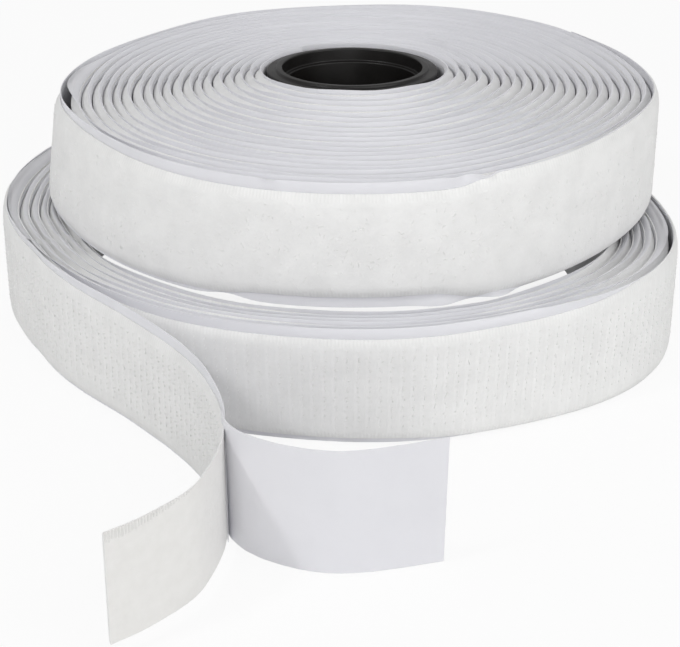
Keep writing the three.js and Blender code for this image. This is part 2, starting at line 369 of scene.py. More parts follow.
def adhesiveCoat():  # hot-melt adhesive on the back of the weave: satin, with the weave showing through
    spec = adhesiveLook
    material, tree = newMaterial("hotMeltAdhesive")
    place = stripPlace(tree)
    cells = {"Vector": place, "Scale": spec["weave"], "Randomness": 0.55}
    weave = addNode(tree, "TexVoronoi", cells, feature="SMOOTH_F1")
    flow = addNode(tree, "TexNoise", {"Vector": place, "Scale": spec["flow"], "Detail": 4.0}).outputs["Fac"]
    split = addNode(tree, "SeparateXYZ", {0: place})
    fall = {1: spec["dropFrom"], 2: spec["dropTo"], 3: 0.0, 4: spec["drop"]}
    drop = addNode(tree, "MapRange", {"Value": split.outputs[0], **fall})
    ragged = addNode(tree, "TexNoise", {"Vector": place, "Scale": spec["ragged"], "Detail": 2.0})
    edge = addNode(tree, "Math", {0: split.outputs[1], 1: drop.outputs[0]}, operation="ADD")
    torn = {0: ragged.outputs["Fac"], 1: spec["raggedDepth"], 2: edge.outputs[0]}
    edge = addNode(tree, "Math", torn, operation="MULTIPLY_ADD")
    limits = {1: spec["edge"][0], 2: spec["edge"][1]}
    bare = addNode(tree, "MapRange", {"Value": edge.outputs[0], **limits}, **softEdge).outputs[0]
    ribs = ribsAlong(tree, split.outputs[0], spec["ribSpacing"])
    shades = {6: linear("#e8e7e4"), 7: linear("#f2f1ef")}
    tint = addNode(tree, "Mix", {0: flow, **shades}, data_type="RGBA")
    # painted shade and painted highlight on the bare woven edge: the colour is a little darker in the grooves
    # between the ribs and a little lighter on the ribs
    paintedRibShading = addNode(tree, "MapRange", {"Value": ribs, 1: -1.0, 2: 0.4, 3: 0.97, 4: 1.03})
    paintedRibShading = addNode(tree, "Mix", {0: bare, 2: 1.0, 3: paintedRibShading.outputs[0]}, data_type="FLOAT")
    layers = {0: 1.0, 6: tint.outputs[2], 7: paintedRibShading.outputs[0]}
    tint = addNode(tree, "Mix", layers, data_type="RGBA", blend_type="MULTIPLY")
    height = addNode(tree, "Math", {0: weave.outputs["Distance"], 1: flow}, operation="ADD")
    height = addNode(tree, "Mix", {0: bare, 2: height.outputs[0], 3: ribs}, data_type="FLOAT").outputs[0]
    relief = addNode(tree, "Bump", {"Height": height, "Strength": 0.45, "Distance": spec["relief"] * mm})
    gloss = addNode(tree, "MapRange", {"Value": flow, 1: 0.3, 2: 0.7, 3: 0.42, 4: 0.6})
    return finishMaterial(material, {"Base Color": tint.outputs[2], "Normal": relief.outputs[0],
                                     "Roughness": gloss.outputs[0], "IOR": 1.49})


filmLook = {"cloud": 0.12, "ripple": 0.35, "relief": 0.15, "milkDepth": 0.4}


def releaseFilm():  # silicone-coated polyethylene film: smooth, cool white, soft highlights along its edges
    spec = filmLook
    material, tree = newMaterial("siliconeReleaseFilm")
    place = stripPlace(tree)
    cloud = addNode(tree, "TexNoise", {"Vector": place, "Scale": spec["cloud"], "Detail": 3.0})
    shades = {6: linear("#e4e4e9"), 7: linear("#eaeaef")}
    tint = addNode(tree, "Mix", {0: cloud.outputs["Fac"], **shades}, data_type="RGBA")
    waves = addNode(tree, "TexNoise", {"Vector": place, "Scale": spec["ripple"], "Detail": 2.0})
    ripple = waves.outputs["Fac"]
    relief = addNode(tree, "Bump", {"Height": ripple, "Strength": 0.25, "Distance": spec["relief"] * mm})
    gloss = addNode(tree, "MapRange", {"Value": ripple, 1: 0.3, 2: 0.7, 3: 0.36, 4: 0.46})
    return finishMaterial(material, {
        "Base Color": tint.outputs[2], "Normal": relief.outputs[0], "Roughness": gloss.outputs[0],
        "IOR": 1.43, "Subsurface Weight": 0.5,  # milky: some light comes through the margins
        "Subsurface Radius": (1.0, 1.0, 1.0), "Subsurface Scale": spec["milkDepth"] * mm,
    })


coreFinish = {"grain": 0.4, "streak": 6.25, "relief": 0.05}


def mouldedCore():  # injection-moulded polypropylene: near black, satin, fine spark-eroded grain
    spec = coreFinish
    material, tree = newMaterial("mouldedPolypropylene")
    place = addNode(tree, "TexCoord").outputs["Object"]
    grain = addNode(tree, "TexNoise", {"Vector": place, "Scale": 1000 / spec["grain"], "Detail": 2.0})
    streak = addNode(tree, "TexNoise", {"Vector": place, "Scale": 1000 / spec["streak"], "Detail": 3.0})
    shades = {6: linear("#0b0908"), 7: linear("#120f0d")}
    tint = addNode(tree, "Mix", {0: streak.outputs["Fac"], **shades}, data_type="RGBA")
    gloss = addNode(tree, "MapRange", {"Value": streak.outputs["Fac"], 1: 0.3, 2: 0.7, 3: 0.34, 4: 0.46})
    fine = {"Height": grain.outputs["Fac"], "Strength": 0.2, "Distance": spec["relief"] * mm}
    relief = addNode(tree, "Bump", fine)
    return finishMaterial(material, {"Base Color": tint.outputs[2], "Normal": relief.outputs[0],
                                     "Roughness": gloss.outputs[0], "IOR": 1.49})


filament = nylonFilament()
adhesive = adhesiveCoat()
linerFilm = releaseFilm()
coreLook = mouldedCore()
print("materials made")


# sections of a strip: offset outwards from the liner's inner face, and height, both in mm

def linerSection(count, lift, lean, topCurl, footCurl, topReach, footReach):
    # arrays along the strip: base height, lean per mm of height, how far each bare margin curls outwards, and
    # how much longer than its plain width it is
    z = np.repeat(linerLevels[None, :], count, 0)
    offset = lean[:, None] * (z - halfWidth)
    height = np.clip(z, tapeFoot, tapeTop)
    margins = ((1, z - tapeTop, topCurl, topReach), (-1, tapeFoot - z, footCurl, footReach))
    for way, past, curl, reach in margins:
        bend = np.radians(np.where(np.abs(curl) < 1.0, 1.0, curl))[:, None]
        radius = (web["margin"] + reach[:, None]) / bend
        turned = bend * np.clip(past / web["margin"], 0, 1)
        offset = offset + radius * (1 - np.cos(turned))
        height = height + way * radius * np.sin(turned)
    return (offset, height + lift[:, None]), (offset + web["film"], height + lift[:, None])


def tapeSection(count, lift, lean, topSpread, footSpread, field, selvedge, squeezed):
    # how far the two edges reach over the liner's margins, the thickness between and at the selvedges,
    # and how far the upper edge is squeezed to a slope between two turns
    edgeRound, edgeFull = 0.5, 1.9  # mm in from an edge that its rounding ends, and that it is full
    topFrom, footFrom, slopeFrom = 14.0, 10.0, 19.0  # heights where each edge's spread and the slope begin
    z = np.repeat(tapeLevels[None, :], count, 0)
    edge = np.minimum(z - tapeFoot, tapeTop - z)
    thick = selvedge[:, None] + (field - selvedge)[:, None] * smoothStep(edge, edgeRound, edgeFull)
    free = 1 - np.clip(squeezed, 0, 1)[:, None]
    thick = thick * (1 - free * (1 - np.sqrt(np.clip(edge / edgeRound, 0.12, 1))))
    inside = lean[:, None] * (z - halfWidth) + web["film"] + web["bond"]
    height = z + lift[:, None] + topSpread[:, None] * smoothStep(z, topFrom, tapeTop)
    height = height - footSpread[:, None] * smoothStep(-z, -footFrom, -tapeFoot)
    slope = squeezed[:, None] * smoothStep(z, slopeFrom, tapeTop)
    return (inside, height), (inside + thick, height - slope), (z - tapeFoot, z - tapeFoot)


def tapeEdges(field, outermost):  # selvedge thickness: full between two turns, thin where it shows
    return field * 0.96 * (1 - outermost) + np.minimum(field, web["selvedge"]) * outermost


def overWidth(section, lift):  # places over a liner's width
    return tuple(height - lift[:, None] for _, height in section)


def plantFilaments(line, lift, stations, heights, ground, shape, side, radius):
    # filaments on a tape's face: stations along it, heights from its lower edge, shape as points along,
    # across and outwards
    travel = alongLine(line)
    at = pointsAt(stations, travel, line)
    out = pointsAt(stations, travel, rightOf(line))
    out /= np.hypot(*out.T)[:, None]
    way = np.stack([-out[:, 1], out[:, 0]], 1)
    level = heights + tapeFoot + np.interp(stations, travel, lift)
    base = np.concatenate([at + out * (web["film"] + web["bond"] + ground)[:, None], level[:, None]], 1)
    flat = np.zeros((len(base), 1))
    way, out = np.concatenate([way, flat], 1), np.concatenate([out, flat], 1)
    up = np.array((0.0, 0.0, 1.0))
    steps = shape[..., :1] * way[:, None, :] + shape[..., 1:2] * up + shape[..., 2:] * out[:, None, :]
    sideways = side[:, :1] * way + side[:, 1:2] * up + side[:, 2:] * out
    points, faces = tubes(base[:, None, :] + steps, sideways, radius)
    places = np.repeat(np.stack([stations, heights], 1), shape.shape[1] * 4, 0)
    return points, faces, places


# degrees from the front where the bare margins begin to roll outwards and are full, where that eases
# towards the back and by what share, and how far they lean back at the front and where that ends
marginForm = {"rolls": (32, 64), "eases": (92, 150), "easesBy": 0.75, "leansBack": 20.0, "leanEnds": (10, 55)}


def marginCurl(angle, sideways):
    spec = marginForm
    off = np.abs(np.mod(angle - 90.0, 360.0) - 180.0)  # degrees from the front
    rolled = sideways * smoothStep(off, *spec["rolls"])
    rolled = rolled * (1 - spec["easesBy"] * smoothStep(off, *spec["eases"]))
    return rolled - spec["leansBack"] * (1 - smoothStep(off, *spec["leanEnds"]))


# upper roll: loop tape and its liner. Tables go round the roll in degrees from the right, anticlockwise

loopRoll = {
    "turns": 19.75, "endAngle": 35.0, "firstRadius": 18.1, "pitch": 2.03, "foot": 24.38,
    "stepInside": 2.4, "stepOutside": 1.1, "fineAngle": 400.0,
    # inner turns have slid up round the core, most at the front, and the roll leans a little to the left
    "rise": 3.1, "risePower": 2.2, "frontRise": 0.9, "leanLeft": 0.3, "unevenFoot": 0.12,
    # the winding is a little dented, and its free end is pressed down and thin
    "dents": 0.14, "endPressed": 0.9, "endThinner": 0.6,
    # least and greatest thickness of the tape between two turns
    "pileRoom": (0.4, 1.9),
    # outer face of the outermost turn, and how far that turn stands off loose
    "outline": {
        36: 60.6, 62: 60.4, 74: 59.2, 90: 58.0, 110: 57.6, 140: 57.9, 165: 58.4, 184: 58.7, 200: 58.8,
        214: 58.7, 229: 58.7, 245: 58.95, 270: 59.3, 281: 59.6, 298: 59.3, 318: 59.0, 333: 60.0, 345: 61.8,
        352: 62.6, 360: 63.0, 372: 62.3, 394: 61.8,
    },
    "loose": {
        140: 0.2, 152: 1.0, 165: 2.4, 175: 3.5, 184: 3.9, 192: 2.6, 200: 1.2, 214: 0.2, 230: 0.0, 360: 0.0,
    },
    # how far the tape covers its liner's margins: on the outermost turn, and on inner turns at the top
    "topCover": {36: 1.6, 180: 0.5, 215: 0.2, 240: 0.0, 290: 0.0, 295: 1.9, 330: 2.05, 360: 2.05},
    "footCover": {
        36: 1.5, 180: 1.5, 230: 1.2, 247: 0.9, 251: 0.0, 286: 0.0, 291: 1.8, 330: 2.0, 360: 2.0,
    },
    "innerCover": 1.25,
    # degrees that the margins curl, with how much that varies, and how far they are drawn out
    "sideCurl": 36.0, "curlVaries": 7.0, "footCurl": 14.0, "footVaries": 5.0,
    "reach": 0.12, "reachVaries": 0.12,
    # where the outermost lower margin hangs down or is drawn up: how far, how wide, how far it flares
    "hanging": {
        212.0: (-0.36, 34.0, 0.0), 246.5: (-0.8, 4.0, 0.0), 285.5: (0.6, 3.5, 45.0),
        297.5: (0.75, 3.0, 55.0),
    },
    # where its upper margin is puckered: how far it bends, and how wide
    "puckers": {255.0: (40.0, 1.4), 287.5: (26.0, 1.2), 290.5: (-30.0, 1.0), 294.0: (55.0, 1.6)},
    # where the next turn's margin is folded out into the gap under the loose turn
    "folded": {"turn": (-1.597, 0.032), "bend": 62.0, "reach": 2.2},
    # how far the outermost turn's foot stands out past its top edge
    "splay": {
        0: 0.0, 90: 0.6, 140: 1.6, 165: 2.6, 178: 3.2, 184: 3.0, 192: 2.2, 204: 2.2, 214: 2.3, 229: 1.4,
        245: 0.8, 270: 0.2, 300: 0.0,
    },
}
# stray loops of the pile, drawn 0.1 mm thick where real filaments are 0.05 mm
strayLoops = {
    "count": 1300, "edge": 1.6, "span": (0.4, 0.9), "rise": (0.04, 0.12), "sunk": 0.05, "radius": 0.05,
}


def plantLoops(line, lift, lean, turn):  # loops scattered over the outermost turn
    spec = strayLoops
    count = spec["count"]
    draw = np.random.default_rng(41)
    travel = alongLine(line)
    stations = np.interp(draw.uniform(-0.98, -0.01, count), turn, travel)
    heights = draw.uniform(spec["edge"], tapeWidth - spec["edge"], count)
    span, rise = draw.uniform(*spec["span"], count), draw.uniform(*spec["rise"], count)
    turned = draw.uniform(0, math.pi, count)
    arc = np.linspace(0, math.pi, 5)
    wide = -np.cos(arc)[None, :] * span[:, None] / 2
    high = np.sin(arc)[None, :] * rise[:, None] - spec["sunk"]
    shape = np.stack([wide * np.cos(turned)[:, None], wide * np.sin(turned)[:, None], high], 2)
    side = np.stack([-np.sin(turned), np.cos(turned), np.zeros(count)], 1)
    ground = web["tape"] + np.interp(stations, travel, lean) * (heights - tapeWidth / 2)
    return plantFilaments(line, lift, stations, heights, ground, shape, side, spec["radius"])


def makeLoopRoll():
    spec = loopRoll
    last = spec["endAngle"] + 360.0 * math.ceil(spec["turns"])
    first = last - 360.0 * spec["turns"]
    # the outline's step at the tape's end is taken out before smoothing
    stepless = {}
    for a, r in spec["outline"].items():
        stepless[a % 360] = r + (1 - (a - spec["endAngle"]) % 360 / 360) * spec["pitch"]
    outline = closedTable(stepless, 6.0)
    loose = closedTable(spec["loose"], 7.0)
    splay = closedTable(spec["splay"], 8.0)
    dents = wobble(3, 5, 2)

    def radiusAt(a):
        turn = (a - last) / 360.0
        edge = outline(a) - (web["film"] + web["tape"])
        wound = np.maximum(turn + spec["turns"], 0.0)
        tight = np.clip(3.0 - 0.4 * wound, 1.0, 3.0)  # first turns hug the core, then climb over the start
        share = (np.floor(wound) + np.mod(wound, 1.0) ** tight) / spec["turns"]
        r = spec["firstRadius"] + (edge - spec["firstRadius"]) * share
        r = r - spec["endPressed"] * smoothStep(turn, -0.08, -0.005)
        dented = spec["dents"] * dents(a, turn * 0.9) * smoothStep(share, 0, 0.15)
        return r + loose(a) * smoothStep(turn, -0.98, -0.8) + dented

    angle = spiralAngles(radiusAt, first, last, spec)
    radius = radiusAt(angle)
    line = ringPoints(radius, angle)
    turn = (angle - last) / 360.0
    round360 = np.mod(angle, 360)
    outermost = smoothStep(turn, -0.97, -0.85)
    count = len(angle)
    lean = -splay(angle) / tapeWidth * outermost
    inward = 1 - (turn + spec["turns"]) / spec["turns"]
    back = np.sin(np.radians(angle))
    right = np.cos(np.radians(angle)) * radius / 60.0
    lift = spec["foot"] + spec["rise"] * inward ** spec["risePower"]
    lift -= spec["frontRise"] * back * inward ** 1.5
    lift += spec["leanLeft"] * (right + 0.2) + spec["unevenFoot"] * wobble(5, 4, 1)(angle, turn)
    tables = [{a % 360: v for a, v in spec[key].items()} for key in ("topCover", "footCover")]
    topCover, footCover = (closedTable(table, 3.0)(angle) * outermost for table in tables)

    curl = marginCurl(angle, spec["sideCurl"]) + spec["curlVaries"] * wobble(8, 5, 2)(angle, turn * 1.7)
    curl = curl * (1 - 0.5 * outermost) * (1 - topCover / fullCover)
    for place, (bend, width) in spec["puckers"].items():
        curl = curl + bend * bump(round360, place, width) * outermost
    foot = spec["footCurl"] + spec["footVaries"] * wobble(11, 4, 2)(angle, turn)
    foot = foot * (1 - footCover / fullCover)
    hang = np.zeros(count)
    for place, (drop, width, flare) in spec["hanging"].items():
        here = bump(round360, place, width) * outermost
        hang, foot = hang + drop * here, foot + flare * here
    reach = spec["reach"] + spec["reachVaries"] * wobble(13, 5, 3)(angle, turn * 1.3)
    folded = bump(turn, *spec["folded"]["turn"])
    curl, reach = curl + spec["folded"]["bend"] * folded, reach + spec["folded"]["reach"] * folded
    section = linerSection(count, lift, lean, curl, foot, reach, hang)
    liner = layStrip("loopLinerWound", line, *section, [linerFilm], overWidth(section, lift))

    # between two turns the pile fills the room up to the next liner, and the free end is pressed thin
    above = radiusAt(np.minimum(angle + 360.0, last)) - radius
    above = above - splay(angle) / 2.0 * smoothStep(turn, -1.97, -1.85)
    pressed = web["tape"] - spec["endThinner"] * smoothStep(turn, -0.02, 0.0)
    filled = np.clip(above - web["film"] - web["clear"], *spec["pileRoom"])
    field = np.where(turn < -1.0, filled, pressed)
    topCover = topCover + spec["innerCover"] * (1 - outermost)
    edges = tapeEdges(field, outermost)
    *section, places = tapeSection(count, lift, lean, topCover, footCover, field, edges, 1.0 - outermost)
    loops = plantLoops(line, lift, lean, turn)
    tape = layStrip("loopTapeWound", line, *section, [loopPile, adhesive, filament], places, loops)
    strips = ((liner, "loop_liner", "liner", linerWidth), (tape, "loop_tape", "loop_tape", tapeWidth))
    for piece, node, slot, width in strips:
        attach(piece, "loop_roll")
        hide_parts(node)


makeLoopRoll()


# core: a tube with rounded rims and a ledge in each mouth

coreShape = {
    "radius": 17.5, "lip": 15.7, "lipRise": 0.5, "mouth": 14.4, "bore": 13.4, "ledge": 2.6, "height": 23.4,
    "foot": 27.6, "sides": 96, "rim": 0.42, "rimSteps": 4, "tilt": 2.9,
}


def turnAbout(y, z, angle):  # where an object's origin goes when it turns about a point, in the x plane
    return y - (y * math.cos(angle) - z * math.sin(angle)), z - (y * math.sin(angle) + z * math.cos(angle))


def selectFaces(piece, wanted):  # leaves the piece in edit mode with only these faces selected
    bpy.ops.mesh.select_all(action="DESELECT")
    bpy.ops.object.mode_set(mode="OBJECT")
    for face in piece.data.polygons:
        face.select = wanted(face)
    bpy.ops.object.mode_set(mode="EDIT")


def makeCore():
    spec = coreShape
    bpy.ops.object.select_all(action="DESELECT")
    middle = (axis.x, axis.y, (spec["foot"] + spec["height"] / 2) * mm)
    bpy.ops.mesh.primitive_cylinder_add(vertices=spec["sides"], radius=spec["radius"] * mm,
                                        depth=spec["height"] * mm, location=middle, end_fill_type="NGON")
    core = bpy.context.object
    core.name = core.data.name = "loopCoreMoulded"
    bpy.ops.object.transform_apply(location=True, rotation=False, scale=False)
    bpy.ops.object.mode_set(mode="EDIT")
    bpy.ops.mesh.select_mode(type="FACE")
    for sign in (1, -1):  # raised lip, mouth, step and bore from each end
        selectFaces(core, lambda face: face.normal.z * sign > 0.9)
        bpy.ops.mesh.inset(thickness=(spec["radius"] - spec["lip"]) * mm)
        lipUp = (0, 0, sign * spec["lipRise"] * mm)
        bpy.ops.mesh.extrude_region_move(TRANSFORM_OT_translate={"value": lipUp})
        bpy.ops.mesh.inset(thickness=(spec["lip"] - spec["mouth"]) * mm)
        ledgeDown = (0, 0, -sign * spec["ledge"] * mm)
        bpy.ops.mesh.extrude_region_move(TRANSFORM_OT_translate={"value": ledgeDown})
        bpy.ops.mesh.inset(thickness=(spec["mouth"] - spec["bore"]) * mm)
    selectFaces(core, lambda face: len(face.vertices) > 8)  # the two discs left in the bore
    bpy.ops.mesh.bridge_edge_loops()
    bpy.ops.mesh.select_all(action="SELECT")
    bpy.ops.mesh.normals_make_consistent(inside=False)
    bpy.ops.object.mode_set(mode="OBJECT")
    rounding = core.modifiers.new("rims", "BEVEL")
    rounding.width, rounding.segments = spec["rim"] * mm, spec["rimSteps"]
    rounding.limit_method, rounding.angle_limit = "ANGLE", math.radians(40)
    bpy.ops.object.modifier_apply(modifier="rims")
    core.rotation_euler.x = -math.radians(spec["tilt"])  # a little askew in its winding, front edge up
    core.location.y, core.location.z = turnAbout(axis.y, middle[2], -math.radians(spec["tilt"]))
    bpy.ops.object.transform_apply(location=True, rotation=True, scale=False)
    bpy.ops.object.shade_smooth_by_angle(angle=math.radians(35))
    core.data.materials.append(coreLook)
    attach(core, "loop_core")
    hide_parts("loop_core")
    print("core moulded")


makeCore()


# lower coil, tail and bare end of the hook tape. Tables go round the coil's middle in degrees from the right

hookCoil = {
    "middle": (-3.5, 0.0), "turns": 6.375, "endAngle": 203.0, "foot": 0.0, "raised": 0.1, "unevenFoot": 0.1,
    "stepInside": 2.2, "stepOutside": 1.1, "fineAngle": 400.0, "dents": 0.12,
    # least and greatest thickness of tape and hooks between two turns
    "hookRoom": (0.4, 2.6),
    # outer face of the outermost turn, from one end of that turn to the other
    "outline": {
        203: 65.4, 213: 65.6, 239: 65.9, 258: 65.9, 265: 66.2, 272: 67.0, 280: 67.9, 288: 68.6, 296: 68.9,
        303: 69.8, 308: 70.9, 314: 72.2, 320: 73.3, 327: 74.0, 335: 73.9, 341: 72.9, 348: 71.0, 356: 68.5,
        363: 66.4, 380: 65.6, 405: 67.4, 450: 69.0, 490: 70.5, 514: 71.0, 535: 70.7, 550: 69.6, 555: 68.4,
        563: 67.6,
    },
    # how far the turns lean out at the top, per mm of height
    "lean": {
        0: 0.0, 60: 0.0, 180: 0.0, 210: 0.0, 232: 0.05, 256: 0.09, 272: 0.09, 280: 0.075, 290: 0.06,
        310: 0.05, 325: 0.03, 340: 0.0,
    },
    # how far the outermost turn stands off the next one
    "loose": {
        0: 1.5, 10: 1.2, 30: 0.5, 60: 0.1, 110: 0.3, 140: 1.0, 158: 1.5, 172: 1.3, 185: 0.7, 200: 0.0,
        240: 0.0, 300: 0.0, 318: 0.4, 335: 1.0, 350: 1.5,
    },
    # spacing of the turns
    "pitch": {
        0: 2.3, 45: 1.8, 90: 1.6, 135: 1.8, 180: 2.0, 200: 1.88, 215: 1.72, 240: 1.66, 255: 1.58, 270: 1.5,
        285: 1.45, 299: 1.42, 311: 1.9, 318: 2.15, 330: 2.33, 345: 2.4,
    },
    # how far the tape covers its liner's margins: on the outermost turn, and on inner turns at the top
    "topCover": {
        0: 2.05, 90: 1.4, 165: 1.2, 171: 1.2, 174: 2.05, 189: 2.05, 194: 0.9, 203: 0.8, 225: 0.4, 240: 0.0,
        303: 0.0, 313: 0.6, 322: 1.9, 330: 2.05,
    },
    "footCover": {
        0: 2.0, 90: 1.2, 180: 1.6, 203: 1.5, 240: 1.2, 255: 1.0, 280: 1.0, 290: 1.7, 300: 2.0, 330: 2.0,
    },
    "innerCover": 1.2,
    # degrees that the margins curl at the sides, and how much that varies
    "sideCurl": 60.0, "curlVaries": 8.0,
    # the outermost margin is creased back as far as a step at its right, and inner margins are rolled over
    # there and at the left: angles where each begins, is full, fades and ends, then how far it bends
    "creased": {"span": (286.0, 296.0, 302.5, 304.5), "bend": -32.0},
    "rolledOver": {"spans": ((296, 310, 345, 359), (180, 200, 240, 265)), "bend": 14.0, "reach": 0.6},
    # where the second turn's margin is folded out into the gap under the outermost turn, and how wide
    "foldedOut": {"places": {172.0: 17.0, 354.0: 15.0}, "bend": 62.0, "reach": 2.4},
    # where the inner turns' upper margin is lower, and how wide
    "sunk": {252.0: (-0.3, 14.0), 299.0: (-0.3, 6.0)},
}
# rows of hooks, and the bent filament of one hook as points along, across and outwards
hookRows = {
    "along": 2.0, "across": 1.05, "edge": 2.0, "ground": 0.9, "radius": 0.09,
    "strayAlong": 0.16, "strayAcross": 0.08,
    "stroke": [(0, 0, -0.12), (0, 0, 0.0), (0.05, 0.12, 0.03), (0.1, 0.34, 0.01)],
}
# outer face of the tail and the bare end, from the coil on, and where the liner leaves it
tailFace = [
    (-61.4, -34.3), (-57.6, -40.3), (-52.9, -46.3), (-48.4, -51.2), (-44.0, -56.0), (-39.7, -61.4),
    (-35.5, -66.7), (-31.4, -72.6), (-29.3, -76.2), (-26.9, -81.0), (-23.9, -89.8), (-22.5, -96.6),
    (-22.4, -103.0), (-23.5, -109.0), (-25.5, -116.2), (-28.1, -120.1), (-33.7, -126.3), (-38.0, -129.6),
]
peelPlace = (-22.4, -98.6)
# the tape's edges over the liner's margins on the tail, and how much thinner the bare end is pressed
tailForm = {"topCover": 0.8, "coverFade": (4.0, 40.0), "footCover": 1.5, "endThinner": 0.4, "endFade": 10.0}


def fullTurn(angle):  # the same angle within the outermost turn
    start = hookCoil["endAngle"]
    return np.mod(angle - start, 360.0) + start


def hookFaceLine():  # outer face of the wound hook tape, from its inner end on
    spec = hookCoil
    pitch, loose = closedTable(spec["pitch"], 10.0), closedTable(spec["loose"], 6.0)
    places = np.array(sorted(spec["outline"]), float)
    radii = np.array([spec["outline"][int(a)] for a in places])
    start, end = places[0], places[-1]
    grid = np.arange(start, end + 0.5, 0.5)
    reach = 24
    weight = np.exp(-(np.arange(-reach, reach + 1) / 8.0) ** 2)
    padded = np.pad(np.interp(grid, places, radii), reach, mode="edge")
    soft = np.convolve(padded, weight / weight.sum(), "valid")
    base = soft + (end - grid) / 360.0 * pitch(grid)  # the same, with the spiral's growth taken off
    last = spec["endAngle"] + 360.0 * math.ceil(spec["turns"])
    first = last - 360.0 * spec["turns"]
    dents = wobble(21, 4, 2)

    def radiusAt(a):
        turn = (a - last) / 360.0
        inside = smoothStep(-turn, 0.98, 1.06)
        dented = spec["dents"] * dents(a, turn) * smoothStep(-turn, 0.05, 0.3)
        return np.interp(fullTurn(a), grid, base) + turn * pitch(a) - loose(a) * inside + dented

    angle = spiralAngles(radiusAt, first, last, spec)
    radius = radiusAt(angle)
    line = ringPoints(radius, angle) + np.array(spec["middle"])
    # room for hooks between a turn and the next one's liner
    room = radiusAt(np.minimum(angle + 360.0, last)) - radius - web["film"] - web["clear"]
    return line, angle, (angle - last) / 360.0, room


def plantHooks(line, lift, lean, field, shown):  # rows of hooks on a face, where it is the outermost
    spec = hookRows
    travel = alongLine(line)
    rows = np.arange(spec["edge"], tapeWidth - spec["edge"] + 0.01, spec["across"])
    columns = np.arange(spec["along"] / 2, travel[-1] - 0.3, spec["along"])
    columns = columns[np.interp(columns, travel, shown) > 0.5]
    stations, heights = (a.ravel() for a in np.meshgrid(columns, rows, indexing="ij"))
    count = len(stations)
    draw = np.random.default_rng(count)
    stations = stations + draw.normal(0, spec["strayAlong"], count)
    heights = heights + draw.normal(0, spec["strayAcross"], count)
    # every second row leans the other way
    hand = np.where(np.round(heights / spec["across"]) % 2 > 0, 1.0, -1.0)
    size = draw.uniform(0.8, 1.15, count)
    hands = np.stack([hand, hand, np.ones_like(hand)], 1)
    shape = np.array(spec["stroke"])[None, :, :] * hands[:, None, :] * size[:, None, None]
    side = np.tile((1.0, 0.0, 0.0), (count, 1))
    middle = tapeWidth / 2
    ground = np.interp(stations, travel, field) + np.interp(stations, travel, lean) * (heights - middle)
    return plantFilaments(line, lift, stations, heights, ground, shape, side, spec["radius"])


def coilForm(angle, turn, room):  # arrays along the wound stretch
    spec = hookCoil
    outermost = smoothStep(turn, -0.99, -0.96)
    around, place = np.mod(angle, 360.0), fullTurn(angle)
    uneven = wobble(25, 4, 1)(angle, turn) * smoothStep(-turn, 0.02, 0.2)
    lift = spec["foot"] + spec["raised"] + spec["unevenFoot"] * uneven
    lean = closedTable(spec["lean"], 6.0)(angle) * smoothStep(-turn, 0.05, 0.15)
    covers = [closedTable(spec[key], 2.5)(angle) for key in ("topCover", "footCover")]
    topCover, footCover = (cover * outermost for cover in covers)

    def within(x, begins, full, fades, ends):
        return smoothStep(x, begins, full) * (1 - smoothStep(x, fades, ends))

    curl = marginCurl(angle, spec["sideCurl"]) + spec["curlVaries"] * wobble(28, 5, 2)(angle, turn * 1.4)
    curl = curl * smoothStep(-turn, 0.02, 0.15) * (1 - topCover / fullCover)
    curl = curl + spec["creased"]["bend"] * within(place, *spec["creased"]["span"]) * outermost
    rolled = sum(within(around, *span) for span in spec["rolledOver"]["spans"])
    rolled = rolled * (1 - outermost) * smoothStep(turn, -5.5, -5.1)
    curl = curl + spec["rolledOver"]["bend"] * rolled
    folds = spec["foldedOut"]
    folded = sum(bump(around, at, width) for at, width in folds["places"].items())
    folded = folded * smoothStep(turn, -1.99, -1.95) * (1 - outermost)
    curl = curl + folds["bend"] * folded
    sunk = sum(drop * bump(place, at, width) for at, (drop, width) in spec["sunk"].items()) * (1 - outermost)
    reach = folds["reach"] * folded
    reach = reach + spec["rolledOver"]["reach"] * rolled * smoothStep(curl, 52, 72) * (1 - folded) + sunk
    # between two turns the hooks fill the room up to the next liner
    field = np.where(turn < -1.0, np.clip(room, *spec["hookRoom"]), hookRows["ground"])
    return {"lift": lift, "lean": lean, "curl": curl, "reach": reach, "field": field, "outermost": outermost,
            "cover": (topCover + spec["innerCover"] * (1 - outermost), footCover)}


def flatForm(line, onLiner):  # the same arrays along the tail and the bare end, which run off upright
    spec = tailForm
    travel = alongLine(line)
    zero = np.zeros(len(line))
    field, cover = zero + hookRows["ground"], (zero, zero)
    if onLiner:
        cover = spec["topCover"] * (1 - smoothStep(travel, *spec["coverFade"])), zero + spec["footCover"]
    else:
        field = field - spec["endThinner"] * smoothStep(travel, 0.0, spec["endFade"])
    return {"lift": zero + hookCoil["foot"], "lean": zero, "curl": zero, "reach": zero, "field": field,
            "outermost": zero + 1.0, "cover": cover}


def layHookStretch(name, line, form, onLiner):  # one stretch of tape, and of liner where it has one
    count = len(line)
    lift, lean, field, outermost = (form[key] for key in ("lift", "lean", "field", "outermost"))
    pieces = {}
    if onLiner:
        plain = np.zeros(count)
        section = linerSection(count, lift, lean, form["curl"], plain, form["reach"], plain)
        liner = layStrip("hookLiner" + name, line, *section, [linerFilm], overWidth(section, lift))
        pieces["hookLiner" + name] = liner, line
    edges = tapeEdges(field, outermost)
    *section, places = tapeSection(count, lift, lean, *form["cover"], field, edges, 1.0 - outermost)
    hooks = plantHooks(line, lift, lean, field, outermost)
    tape = layStrip("hookTape" + name, line, *section, [hookWeave, adhesive, filament], places, hooks)
    pieces["hookTape" + name] = tape, line
    return pieces


